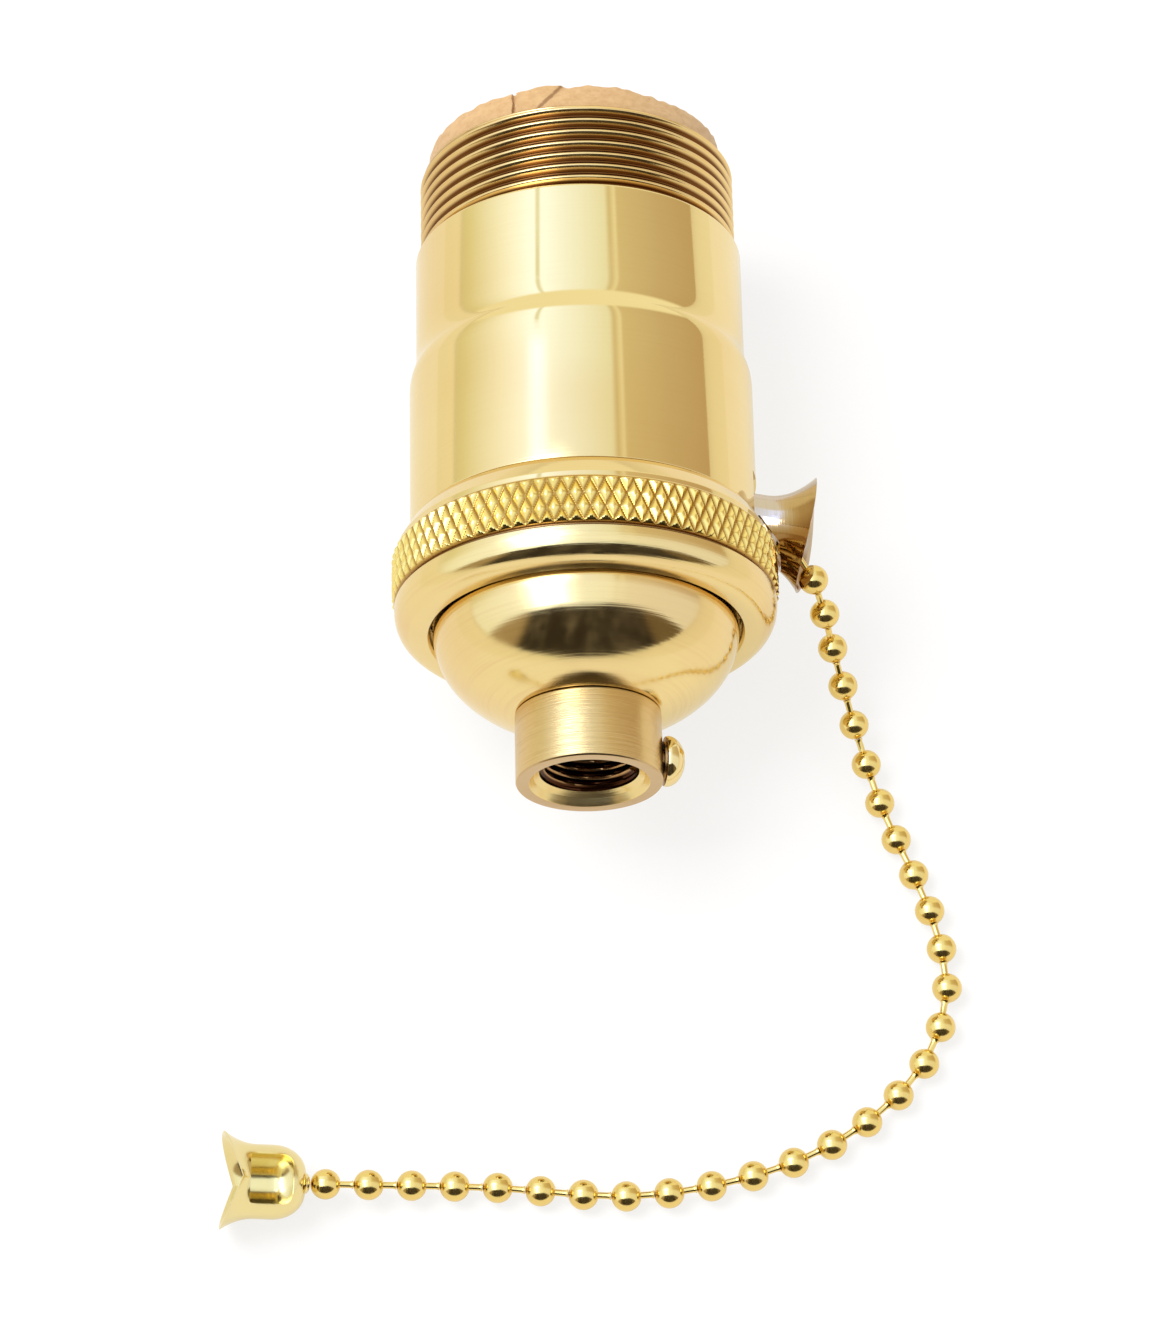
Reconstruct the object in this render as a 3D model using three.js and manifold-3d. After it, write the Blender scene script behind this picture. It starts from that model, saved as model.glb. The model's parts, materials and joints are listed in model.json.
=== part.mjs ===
// A pull-chain lampholder lying on its side: turned brass shell, knurled clamp ring, domed cap and
// threaded hub on one axis, a chain funnel on the side, and a ball chain ending in a small bell.
// Millimetres. +Y runs along the socket axis towards the lamp, +X towards the chain funnel, and +Z up from
// the bench. The pieces are laid out from the centre of the hub's end face, and the finished group is then
// moved so that the origin is on the bench, under the middle of the lampholder and its laid-out chain.

import * as THREE from "three";
import { mergeVertices } from "three/addons/utils/BufferGeometryUtils.js";
import Module from "manifold-3d";

const wasm = await Module();
wasm.setup();

// ---------------------------------------------------------------- driving dimensions

const CLEARANCE = 0.3;
const ROUND = 36;
const SMALL_ROUND = 16;
const BEAD_ROUND = 8;

const HUB = { radius: 7.75, length: 7.7, counterbore: 6.33, chamfer: 0.45 };
const HUB_THREAD = { major: 5.15, minor: 4.65, pitch: 0.94, turns: 6, from: 1.4 };
const NECK = { radius: 5.95, end: 12.4 };
const DOME = { rimY: 17.2, radius: 16.3, depth: 10.8, wall: 1.0, flangeY: 19.3, flangeRadius: 18.1 };
const RING = { radius: 20.65, shoulderY: 20.2, knurlFrom: 20.85, knurlTo: 25.85, lipY: 28.8, bore: 18.4 };
const SHELL = { spigot: 18.2, lower: 18.65, upper: 17.9, wall: 0.95, from: 20.6, stepY: 47.3, threadY: 62.2 };
const UNO = { major: 17.3, minor: 16.75, pitch: 1.41, turns: 7 };
const SLEEVE = { outer: 16.3, wall: 0.7, from: 24, to: 75.4, slit: 0.5, slitTurn: 24 };
const NOTCH = { top: 34.3, halfWidth: 4.0 };
const SLEEVE_NOTCH = { top: 35.7, halfWidth: 5.2 };

const FUNNEL = { mouth: 6.36, tube: 3.55, wall: 0.55, saddle: 0.66, flare: 5.2, length: 9.6 };
const FUNNEL_MOUTH = { x: 23.81, y: 28.34, tilt: 11.8 };
const FUNNEL_FLANGE = { radius: 4.5, thickness: 0.8 };

const SET_SCREW = { y: 2.95, turn: -10, head: 2.7, shank: 1.2, seat: 8.0, rise: 2.2, tip: 5.4 };
const SCREW_SLOT = { halfWidth: 0.35, depth: 1.0 };

const BASE = { radius: 15.0, from: 21.2, to: 46.0 };
const SEAT = { from: 46.2, to: 49.2, bossRadius: 6.5, bossTop: 50.3 };
const LAMP_THREAD = { mean: 12.95, depth: 0.42, pitch: 3.63, wall: 0.4, from: 49.4, to: 71.0 };

const SHAFT = { radius: 1.15, halfLength: 8.1 };
const PULL = { stroke: 9.0, swing: 60 };
const RATCHET = { teeth: 6, outer: 4.3, inner: 3.0, from: 1.0, to: 2.2 };
const CAM = { lobes: 3, outer: 4.2, inner: 2.4, from: -4.6, to: -2.6 };
const LEVER = { hub: 2.4, plate: 0.5, halfWidth: 2.5, shoulder: 5.6, forkFrom: 6.9, tip: 10.3, slot: 1.3 };

const SPRING = { turns: 3, radius: 2.1, wire: 0.28, from: 3.1, length: 2.4 };

const BEAD = { radius: 1.6, pitch: 4.52, pin: 0.42, pinGap: 0.15 };
const BENCH_Z = -RING.radius;
const INNER_BEADS = 6;
const OUTER_BEADS = 30;
const INNER_BEAD_INSET = 5.35;
const CHAIN_LIFT = 1.1;

const BELL = { collar: 1.2, from: 1.75, shoulder: 2.2, full: 5.6, radius: 3.9, wall: 0.45 };
const BELL_MOUTH = { from: 7.4, at: 10.9, radius: 5.15, notch: 1.75, lift: 11 };
const BELL_WINDOW = { from: 3.7, to: 8.4, halfWidth: 2.6, corner: 1.1 };

// ---------------------------------------------------------------- materials

const metal = (color, roughness) => new THREE.MeshStandardMaterial({ color, roughness, metalness: 1 });
const insulator = (color, roughness) => new THREE.MeshStandardMaterial({ color, roughness, metalness: 0 });

const polishedBrass = () => metal("#d9b65a", 0.16);
const brushedBrass = () => metal("#cfa25f", 0.34);
const platedGold = () => metal("#d8b23c", 0.18);
const nickel = () => metal("#a48d73", 0.22);
const springSteel = () => metal("#9a9a9c", 0.3);
const copper = () => metal("#b9764a", 0.35);
const fibre = () => insulator("#d3ac7c", 0.85);
const porcelain = () => insulator("#ece8de", 0.35);
const phenolic = () => insulator("#2b211c", 0.5);

// ---------------------------------------------------------------- geometry helpers

const radians = THREE.MathUtils.degToRad;
const pieces = new THREE.Group();

function place(name, geometry, material) {
  const mesh = new THREE.Mesh(geometry, material);
  mesh.name = name;
  pieces.add(mesh);
  return mesh;
}

function signedArea(profile) {
  return profile.reduce((sum, [r, y], i) => {
    const [nextR, nextY] = profile[(i + 1) % profile.length];
    return sum + r * nextY - nextR * y;
  }, 0);
}

// A revolved piece about Y from [radius, y] points. The outline closes on itself unless both of its ends are
// on the axis.
function lathe(profile, segments = ROUND) {
  const outline = signedArea(profile) > 0 ? profile : [...profile].reverse();
  const onAxis = outline[0][0] === 0 && outline.at(-1)[0] === 0;
  const closed = onAxis ? outline : [...outline, outline[0]];
  return new THREE.LatheGeometry(closed.map(([r, y]) => new THREE.Vector2(r, y)), segments);
}

function box(from, to) {
  const size = to.map((value, i) => value - from[i]);
  return new THREE.BoxGeometry(...size).translate(...from.map((value, i) => value + size[i] / 2));
}

// A round bar along Y.
function bar(radius, from, to, segments = SMALL_ROUND) {
  return lathe([[0, from], [radius, from], [radius, to], [0, to]], segments);
}

function plate(outline, fromZ, toZ, holes = []) {
  const shape = new THREE.Shape(outline.map(([x, y]) => new THREE.Vector2(x, y)));
  shape.holes = holes;
  const options = { depth: toZ - fromZ, bevelEnabled: false, curveSegments: 10 };
  return new THREE.ExtrudeGeometry(shape, options).translate(0, 0, fromZ);
}

function circleHole(x, y, radius) {
  return new THREE.Path().absarc(x, y, radius, 0, 2 * Math.PI, true);
}

// The outline of a bent strip of even thickness that follows a row of [x, y] points.
function strip(points, thickness) {
  const centre = points.map(([x, y]) => new THREE.Vector2(x, y));
  const offset = (side) =>
    centre.map((point, i) => {
      const before = centre[Math.max(i - 1, 0)];
      const after = centre[Math.min(i + 1, centre.length - 1)];
      const along = after.clone().sub(before).normalize();
      const across = new THREE.Vector2(-along.y, along.x);
      const edge = point.clone().sub(before.equals(point) ? after : before).normalize();
      const stretch = Math.max(Math.abs(edge.dot(along)), 0.5);
      return point.clone().addScaledVector(across, (side * thickness) / 2 / stretch).toArray();
    });
  return [...offset(1), ...offset(-1).reverse()];
}

// Points at even steps of t from 0 to 1.
function arc(steps, at) {
  return Array.from({ length: steps + 1 }, (_, i) => at(i / steps));
}

// A closed outline about Z whose radius may change with the angle.
function roundOutline(sides, radiusAt) {
  return Array.from({ length: sides }, (_, i) => {
    const angle = (2 * Math.PI * i) / sides;
    const radius = radiusAt(angle);
    return [radius * Math.cos(angle), radius * Math.sin(angle)];
  });
}

// A thread's outline: crests and roots in turn, half a pitch apart.
function threadOutline({ major, minor, pitch, from }, count, first, second) {
  const radii = { major, minor };
  return Array.from({ length: count }, (_, i) => [radii[i % 2 ? second : first], from + (i * pitch) / 2]);
}

function toSolid(geometry) {
  const bare = geometry.index ? geometry.toNonIndexed() : geometry.clone();
  const positions = new THREE.BufferGeometry().setAttribute("position", bare.getAttribute("position"));
  const merged = mergeVertices(positions, 1e-4);
  const corners = merged.index.array;
  const triangles = [];
  for (let i = 0; i < corners.length; i += 3) {
    const [a, b, c] = corners.slice(i, i + 3);
    if (a !== b && b !== c && c !== a) triangles.push(a, b, c);
  }
  const vertProperties = merged.attributes.position.array;
  const triVerts = new Uint32Array(triangles);
  return new wasm.Manifold(new wasm.Mesh({ numProp: 3, vertProperties, triVerts }));
}

function toGeometry(solid) {
  const { vertProperties, triVerts } = solid.getMesh();
  const geometry = new THREE.BufferGeometry();
  geometry.setAttribute("position", new THREE.BufferAttribute(new Float32Array(vertProperties), 3));
  geometry.setIndex(new THREE.BufferAttribute(new Uint32Array(triVerts), 1));
  return geometry;
}

function cut(geometry, ...tools) {
  return toGeometry(tools.reduce((solid, tool) => solid.subtract(toSolid(tool)), toSolid(geometry)));
}

function join(geometry, ...others) {
  return toGeometry(others.reduce((solid, other) => solid.add(toSolid(other)), toSolid(geometry)));
}

// Moves each vertex of a geometry along Y by shift(x, y, z).
function shiftAlongY(geometry, shift) {
  const position = geometry.getAttribute("position");
  for (let i = 0; i < position.count; i++) {
    const [x, y, z] = [position.getX(i), position.getY(i), position.getZ(i)];
    position.setY(i, y + shift(x, y, z));
  }
  return geometry;
}

// ---------------------------------------------------------------- hub, cap, ring and shell

function setScrewHole() {
  return bar(SET_SCREW.shank + 0.2, 3.5, 9)
    .rotateZ(-Math.PI / 2)
    .rotateY(radians(-SET_SCREW.turn))
    .translate(0, SET_SCREW.y, 0);
}

function threadedHub() {
  const thread = threadOutline(HUB_THREAD, HUB_THREAD.turns * 2 + 1, "major", "minor");
  const profile = [
    [HUB.counterbore, 0],
    [HUB.radius - HUB.chamfer, 0],
    [HUB.radius, HUB.chamfer],
    [HUB.radius, HUB.length],
    [NECK.radius, HUB.length],
    [NECK.radius, NECK.end],
    [HUB_THREAD.minor, NECK.end],
    [HUB_THREAD.minor, HUB_THREAD.from + HUB_THREAD.turns * HUB_THREAD.pitch + 0.6],
    ...thread.reverse(),
    [HUB.counterbore - HUB.chamfer, 0.9],
  ];
  return cut(lathe(profile, 32), setScrewHole());
}

function hubLocknut() {
  const nut = plate(roundOutline(6, () => 8.2), 9.9, 12.0, [circleHole(0, 0, NECK.radius + 0.15)]);
  return nut.rotateX(-Math.PI / 2);
}

function domeCap() {
  const inner = { radius: DOME.radius - DOME.wall, depth: DOME.depth - 1.5 };
  const hole = NECK.radius + 0.2;
  const seat = HUB.radius + 0.25;
  const curve = ({ radius, depth }, edge, steps) => {
    const start = Math.acos(edge / radius);
    return arc(steps, (t) => {
      const angle = start * (1 - t);
      return [radius * Math.cos(angle), DOME.rimY - depth * Math.sin(angle)];
    });
  };
  return lathe([
    [hole, HUB.length + 0.15],
    ...curve(DOME, seat, 8),
    [DOME.radius, DOME.flangeY],
    [DOME.flangeRadius, DOME.flangeY],
    [DOME.flangeRadius, DOME.flangeY + 1],
    [inner.radius, DOME.flangeY + 1],
    ...curve(inner, hole, 5).reverse(),
  ]);
}

function knurledRing() {
  const shoulder = arc(5, (t) => {
    const angle = (Math.PI / 2) * (1 - t);
    return [17.0 + 3.4 * Math.cos(angle), RING.shoulderY - 3.3 * Math.sin(angle)];
  });
  return lathe([
    [DOME.radius + CLEARANCE, DOME.rimY + 0.2],
    ...shoulder,
    [RING.radius - 0.5, RING.shoulderY + 0.25],
    [RING.radius - 0.1, RING.knurlFrom - 0.2],
    [RING.radius, RING.knurlFrom],
    [RING.radius, RING.knurlTo],
    [RING.radius - 0.4, RING.knurlTo + 0.1],
    [RING.bore + 0.35, RING.lipY],
    [RING.bore, RING.lipY],
    [RING.bore, DOME.flangeY - CLEARANCE],
    [DOME.radius + CLEARANCE, DOME.flangeY - CLEARANCE],
  ]);
}

function outerShell() {
  const thread = threadOutline({ ...UNO, from: SHELL.threadY }, UNO.turns * 2, "minor", "major");
  const top = SHELL.threadY + UNO.turns * UNO.pitch + 0.13;
  const shoulder = arc(3, (t) => {
    const angle = (Math.PI / 2) * t;
    const inwards = (1 - Math.cos(angle)) * (SHELL.lower - SHELL.upper);
    return [SHELL.lower - inwards, SHELL.stepY + 1.4 * Math.sin(angle)];
  });
  const body = lathe([
    [SHELL.spigot, SHELL.from],
    [SHELL.spigot, RING.lipY - 0.05],
    [SHELL.lower, RING.lipY + 0.1],
    ...shoulder,
    [SHELL.upper, SHELL.threadY - 0.6],
    [UNO.major + 0.1, SHELL.threadY - 0.2],
    ...thread,
    [UNO.major - 0.25, top],
    [SLEEVE.outer + 0.12, top],
    [SLEEVE.outer + 0.12, SHELL.threadY - 0.7],
    [SHELL.upper - SHELL.wall, SHELL.threadY - 1.2],
    [SHELL.upper - SHELL.wall, SHELL.stepY + 1.2],
    [SHELL.lower - SHELL.wall, SHELL.stepY - 0.2],
    [SHELL.lower - SHELL.wall, RING.lipY + 0.6],
    [SHELL.spigot - SHELL.wall, RING.lipY],
    [SHELL.spigot - SHELL.wall, SHELL.from],
  ]);
  const notch = box([14, SHELL.from - 1, -NOTCH.halfWidth], [20, NOTCH.top, NOTCH.halfWidth]);
  return cut(body, notch);
}

function insulatingSleeve() {
  const inner = SLEEVE.outer - SLEEVE.wall;
  const tube = lathe([
    [inner, SLEEVE.from],
    [SLEEVE.outer, SLEEVE.from],
    [SLEEVE.outer, SLEEVE.to],
    [inner, SLEEVE.to],
  ]);
  const { top, halfWidth } = SLEEVE_NOTCH;
  const funnelSlot = box([12, SLEEVE.from - 1, -halfWidth], [18, top, halfWidth]);
  const slit = box([-SLEEVE.slit / 2, SLEEVE.from - 1, 13], [SLEEVE.slit / 2, SLEEVE.to + 1, 18]);
  return cut(tube, funnelSlot, slit.rotateY(radians(-SLEEVE.slitTurn)));
}

function setScrew() {
  const rim = 0.35;
  const top = SET_SCREW.seat + SET_SCREW.rise;
  const dome = arc(5, (t) => {
    const angle = (Math.PI / 2) * t;
    const height = rim + (SET_SCREW.rise - rim) * Math.sin(angle);
    return [SET_SCREW.head * Math.cos(angle), SET_SCREW.seat + height];
  });
  const profile = [
    [0, SET_SCREW.tip],
    [SET_SCREW.shank, SET_SCREW.tip],
    [SET_SCREW.shank, SET_SCREW.seat],
    [SET_SCREW.head, SET_SCREW.seat],
    ...dome.slice(0, -1),
    [0, top],
  ];
  const slot = box([-SCREW_SLOT.halfWidth, top - SCREW_SLOT.depth, -4], [SCREW_SLOT.halfWidth, top + 1, 4]);
  return cut(lathe(profile, SMALL_ROUND), slot);
}

// ---------------------------------------------------------------- chain funnel

const funnelTilt = radians(FUNNEL_MOUTH.tilt);
const chainWay = new THREE.Vector3(Math.cos(funnelTilt), -Math.sin(funnelTilt), 0);
const mouth = new THREE.Vector3(FUNNEL_MOUTH.x, FUNNEL_MOUTH.y, 0);
const chainSide = new THREE.Vector3(-chainWay.y, chainWay.x, 0);

// The chain's straight run is parallel to the funnel and a little above its axis, to clear the clamp ring.
const onChainLine = (inset) =>
  mouth.clone().addScaledVector(chainSide, CHAIN_LIFT).addScaledVector(chainWay, -inset);

// Carries a piece made along +Y to the funnel, so that y = 0 is the mouth and +Y leaves the lampholder.
const yAxis = new THREE.Vector3(0, 1, 0);
const unitScale = new THREE.Vector3(1, 1, 1);
const turnTo = (direction) => new THREE.Quaternion().setFromUnitVectors(yAxis, direction);
const funnelFrame = new THREE.Matrix4().compose(mouth, turnTo(chainWay), unitScale);

function chainFunnel() {
  const flare = (radiusAtTube, radiusAtMouth, steps) =>
    arc(steps, (t) => [radiusAtTube + (radiusAtMouth - radiusAtTube) * t ** 2.3, -FUNNEL.flare * (1 - t)]);
  const inner = FUNNEL.tube - FUNNEL.wall;
  const body = lathe(
    [
      [inner, -FUNNEL.length],
      [FUNNEL_FLANGE.radius, -FUNNEL.length],
      [FUNNEL_FLANGE.radius, -FUNNEL.length + FUNNEL_FLANGE.thickness],
      [FUNNEL.tube, -FUNNEL.length + FUNNEL_FLANGE.thickness],
      ...flare(FUNNEL.tube, FUNNEL.mouth, 5),
      ...flare(inner, FUNNEL.mouth - 0.3, 5).reverse(),
    ],
    24,
  );
  shiftAlongY(body, (x, y, z) => {
    const outward = THREE.MathUtils.smoothstep(y, -FUNNEL.flare, 0);
    return (outward * FUNNEL.saddle * z * z) / (FUNNEL.mouth * FUNNEL.mouth);
  });
  const ringSpace = lathe([
    [17.4, RING.knurlFrom - 4],
    [RING.radius + CLEARANCE, RING.knurlFrom - 4],
    [RING.radius + CLEARANCE, RING.knurlTo + CLEARANCE],
    [RING.bore + 0.35 + CLEARANCE, RING.lipY + CLEARANCE],
    [17.4, RING.lipY + CLEARANCE],
  ]);
  return cut(body.applyMatrix4(funnelFrame), ringSpace);
}

// ---------------------------------------------------------------- switch body and lamp contacts

const TERMINAL = { x: 10.2, hole: 1.6, tapped: 1.55, from: BASE.from - 0.8, to: BASE.from - 0.2 };
const TERMINAL_SCREW = { head: 2.7, shank: 1.4, headHeight: 1.6, length: 4.2 };
const STRAP = { x: -13.2, thickness: 0.6, halfWidth: 2, play: 0.25 };
const ASSEMBLY_SCREW = { z: 9.7, shank: 1.25, hole: 1.45, head: 2.2, tip: 22.5 };
const RIVET = { x: -3, radius: 1.2, hole: 1.35 };
const BLADE = { z: [-4.6, -2.6], thickness: 0.35, x: 7.9 };

// The shaft stands square to the chain line, half a stroke ahead of the lever's resting fork.
const FORK_INSET = INNER_BEAD_INSET + (INNER_BEADS - 1.5) * BEAD.pitch;
const leverReach = PULL.stroke / 2 / Math.tan(radians(PULL.swing / 2));
const shaftAt = onChainLine(FORK_INSET - PULL.stroke / 2).addScaledVector(chainSide, leverReach);
const leverTurn = -FUNNEL_MOUTH.tilt - PULL.swing / 2;

const strapSlot = () =>
  box(
    [STRAP.x - STRAP.play - STRAP.thickness / 2, BASE.from - 1, -STRAP.halfWidth - STRAP.play],
    [STRAP.x + STRAP.play + STRAP.thickness / 2, SEAT.to + 1, STRAP.halfWidth + STRAP.play],
  );

const terminalHole = (side) => bar(TERMINAL.hole, 18, 23).translate(side * TERMINAL.x, 0, 0);

const assemblyHoles = () =>
  [1, -1].map((side) => bar(ASSEMBLY_SCREW.hole, BASE.from - 1, 55).translate(0, 0, side * ASSEMBLY_SCREW.z));

function switchBase() {
  const tappedHoles = [1, -1].map((side) =>
    bar(TERMINAL.tapped, BASE.from - 1, 26).translate(side * TERMINAL.x, 0, 0),
  );
  const cavity = box([-8, 27, -6], [9.2, BASE.to + 1, 6]);
  const chainSlot = box([8, 28.2, -2.2], [15, 34, 2.2]);
  const funnelPocket = box([12.7, 24.8, -4.9], [17, 35.6, 4.9]);
  const shaftSlot = box(
    [shaftAt.x - SHAFT.radius - 0.2, shaftAt.y - SHAFT.radius - 0.2, -SHAFT.halfLength - CLEARANCE],
    [shaftAt.x + SHAFT.radius + 0.2, BASE.to + 1, SHAFT.halfLength + CLEARANCE],
  );
  const bladeSlot = box(
    [BLADE.x - 0.5, BASE.from - 1, BLADE.z[0] - CLEARANCE],
    [BLADE.x + 0.5, 28, BLADE.z[1] + CLEARANCE],
  );
  const body = bar(BASE.radius, BASE.from, BASE.to, ROUND);
  const openings = [cavity, chainSlot, funnelPocket, shaftSlot, bladeSlot, strapSlot()];
  return cut(body, ...openings, ...tappedHoles, ...assemblyHoles());
}

function socketSeat() {
  const body = lathe([
    [0, SEAT.from],
    [BASE.radius, SEAT.from],
    [BASE.radius, SEAT.to],
    [SEAT.bossRadius, SEAT.to],
    [SEAT.bossRadius, SEAT.bossTop],
    [0, SEAT.bossTop],
  ]);
  const rivetHole = bar(RIVET.hole, SEAT.from - 1, SEAT.bossTop + 1).translate(RIVET.x, 0, 0);
  return cut(body, rivetHole, strapSlot(), ...assemblyHoles());
}

// The rolled thread that takes the lamp: a thin wavy tube with a floor.
function lampScrewShell() {
  const turns = 5;
  const stepsPerTurn = 2;
  const waveFrom = 51.4;
  const wave = (side) =>
    arc(turns * stepsPerTurn, (t) => {
      const y = waveFrom + t * turns * LAMP_THREAD.pitch;
      const ripple = LAMP_THREAD.depth * Math.cos(2 * Math.PI * t * turns);
      return [LAMP_THREAD.mean + ripple + (side * LAMP_THREAD.wall) / 2, y];
    });
  const floorHole = SEAT.bossRadius + 0.4;
  const floorTop = LAMP_THREAD.from + 0.6;
  const rim = LAMP_THREAD.mean + LAMP_THREAD.depth;
  const shell = lathe(
    [
      [floorHole, LAMP_THREAD.from],
      [rim + 0.2, LAMP_THREAD.from],
      ...wave(1),
      [rim + 0.2, LAMP_THREAD.to],
      [rim - 0.2, LAMP_THREAD.to],
      ...wave(-1).reverse(),
      [rim - 0.2, floorTop],
      [floorHole, floorTop],
    ],
    24,
  );
  return cut(shell, ...assemblyHoles());
}

function centreContact() {
  const thickness = 0.5;
  const halfWidth = 2.4;
  const path = [
    [-5.2, 50.7],
    [3.4, 50.7],
    [4.5, 51.6],
    [3.2, 52.5],
    [-1.4, 54.2],
    [-3.4, 53.7],
  ];
  const rivetHole = bar(RIVET.hole, 49, 52).translate(RIVET.x, 0, 0);
  return cut(plate(strip(path, thickness), -halfWidth, halfWidth), rivetHole);
}

function contactRivet() {
  const profile = [
    [0, SEAT.from - 0.75],
    [2.0, SEAT.from - 0.75],
    [2.0, SEAT.from - 0.1],
    [RIVET.radius, SEAT.from - 0.1],
    [RIVET.radius, 51.05],
    [1.9, 51.05],
    [1.5, 51.6],
    [0, 51.6],
  ];
  return lathe(profile, 16).translate(RIVET.x, 0, 0);
}

// Two spring blades rest against the cam, one from above and one from the terminal below.
function upperBlade() {
  const tip = [shaftAt.x - CAM.outer - 0.35, shaftAt.y - 0.6];
  const path = [[-5.4, 45.1], [-3.2, 45.1], [-1.6, 43.6], tip];
  return plate(strip(path, BLADE.thickness), BLADE.z[0], BLADE.z[1]);
}

function lowerBlade() {
  const touch = radians(-60);
  const reach = CAM.outer + 0.4;
  const tip = [shaftAt.x + reach * Math.cos(touch), shaftAt.y + reach * Math.sin(touch)];
  const path = [[BLADE.x, BASE.from + 0.2], [BLADE.x, 34.4], tip];
  return plate(strip(path, BLADE.thickness), BLADE.z[0], BLADE.z[1]);
}

function hotTerminal() {
  return cut(box([5.6, TERMINAL.from, -5.2], [13.4, TERMINAL.to, 2.8]), terminalHole(1));
}

function neutralStrap() {
  const outside = STRAP.x - STRAP.thickness / 2;
  const inside = STRAP.x + STRAP.thickness / 2;
  const upright = box([outside, TERMINAL.from, -STRAP.halfWidth], [inside, SEAT.to, STRAP.halfWidth]);
  const foot = box([outside, TERMINAL.from, -3], [-6.6, TERMINAL.to, 3]);
  return cut(join(upright, foot), terminalHole(-1));
}

// A cheese-head screw along Y, with its head at the low end.
function cheeseScrew({ head, shank, headHeight, length }) {
  const profile = [
    [0, 0],
    [head, 0],
    [head, headHeight],
    [shank, headHeight],
    [shank, headHeight + length],
    [0, headHeight + length],
  ];
  const slot = box([-SCREW_SLOT.halfWidth, -1, -head - 1], [SCREW_SLOT.halfWidth, headHeight / 2, head + 1]);
  return cut(lathe(profile, SMALL_ROUND), slot);
}

function assemblyScrew() {
  const headHeight = 1.4;
  const top = LAMP_THREAD.from + 0.7;
  const screw = cheeseScrew({ ...ASSEMBLY_SCREW, headHeight, length: top - ASSEMBLY_SCREW.tip });
  return screw.rotateX(Math.PI).translate(0, top + headHeight, 0);
}

// ---------------------------------------------------------------- ratchet switch, in the plane of its shaft

function rotorShaft() {
  return bar(SHAFT.radius, -SHAFT.halfLength, SHAFT.halfLength).rotateX(Math.PI / 2);
}

function ratchetWheel() {
  const toothAngle = (2 * Math.PI) / RATCHET.teeth;
  const firstFace = radians(-52);
  const slope = [
    [RATCHET.inner, 0],
    [RATCHET.outer, 0],
    [RATCHET.outer - 0.4, 0.35],
    [RATCHET.outer - 0.85, 0.7],
  ];
  const outline = [];
  for (let tooth = 0; tooth < RATCHET.teeth; tooth++) {
    const face = firstFace + tooth * toothAngle;
    for (const [radius, part] of slope) {
      const angle = face + part * toothAngle;
      outline.push([radius * Math.cos(angle), radius * Math.sin(angle)]);
    }
  }
  return plate(outline, RATCHET.from, RATCHET.to, [circleHole(0, 0, SHAFT.radius + 0.05)]);
}

function contactCam() {
  const middle = (CAM.outer + CAM.inner) / 2;
  const swing = (CAM.outer - CAM.inner) / 2;
  const outline = roundOutline(36, (angle) => middle - swing * Math.cos(CAM.lobes * angle));
  return plate(outline, CAM.from, CAM.to, [circleHole(0, 0, SHAFT.radius + 0.05)]);
}

// The lever hangs along -Y: a hub on the shaft, and a cross plate whose fork holds the chain.
function pullLever() {
  const halfPlate = LEVER.plate / 2;
  const halfHub = 0.7;
  const hub = plate(roundOutline(20, () => LEVER.hub), -halfHub, halfHub);
  const arm = box([-halfPlate, -LEVER.tip, -halfHub], [halfPlate, -LEVER.hub + 0.3, halfHub]);
  const fork = box([-halfPlate, -LEVER.tip, -LEVER.halfWidth], [halfPlate, -LEVER.shoulder, LEVER.halfWidth]);
  const shaftHole = plate(roundOutline(SMALL_ROUND, () => SHAFT.radius + 0.1), -2, 2);
  const slot = box([-1, -LEVER.tip - 1, -LEVER.slot / 2], [1, -LEVER.forkFrom, LEVER.slot / 2]);
  return cut(join(hub, arm, fork), shaftHole, slot);
}

function drivePawl() {
  const start = LEVER.plate / 2 + 0.25;
  return plate(strip([[start, -6.5], [start, -5.6], [2.0, -3.3]], 0.35), RATCHET.from, RATCHET.to - 0.1);
}

class SpringPath extends THREE.Curve {
  getPoint(t, target = new THREE.Vector3()) {
    const angle = 2 * Math.PI * SPRING.turns * t;
    const height = SPRING.from + SPRING.length * t;
    return target.set(SPRING.radius * Math.cos(angle), SPRING.radius * Math.sin(angle), height);
  }
}

function returnSpring() {
  const wire = new THREE.Shape().absarc(0, 0, SPRING.wire, 0, 2 * Math.PI);
  return new THREE.ExtrudeGeometry(wire, { steps: 30, extrudePath: new SpringPath(), curveSegments: 3 });
}

// ---------------------------------------------------------------- ball chain and bell

// The chain leaves its straight run inside the funnel, drops over the mouth's lower lip to the bench,
// swings out beside the lampholder and comes back below the hub.
const onBench = (x, y) => new THREE.Vector3(x, y, BENCH_Z + BEAD.radius);
const chainPath = new THREE.CatmullRomCurve3([
  onChainLine(INNER_BEAD_INSET),
  new THREE.Vector3(22.2, 27.9, -1.45),
  new THREE.Vector3(24.75, 24.4, -3.75),
  new THREE.Vector3(26.8, 19.7, -10.9),
  new THREE.Vector3(29.2, 12.6, -16.6),
  onBench(31.7, 4.6),
  onBench(36.6, -8.6),
  onBench(37.7, -17.2),
  onBench(34.4, -25.8),
  onBench(23.7, -34.4),
  onBench(6.3, -38.9),
  onBench(-11.9, -37.7),
  new THREE.Vector3(-30.5, -37.5, BENCH_Z + 3.5),
]);
const chainLength = chainPath.getLength();
const beadCentre = (index) => chainPath.getPointAt((index * BEAD.pitch) / chainLength);

// Half the outline of a ball at y = centre, from its far pole or link to its near pole or link.
function ballOutline(centre, linkAhead, linkBehind) {
  const linkAngle = Math.asin(BEAD.pin / BEAD.radius);
  const from = linkAhead ? linkAngle : 0;
  const to = Math.PI - (linkBehind ? linkAngle : 0);
  return arc(5, (t) => {
    const angle = from + t * (to - from);
    return [BEAD.radius * Math.sin(angle), centre + BEAD.radius * Math.cos(angle)];
  });
}

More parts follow.
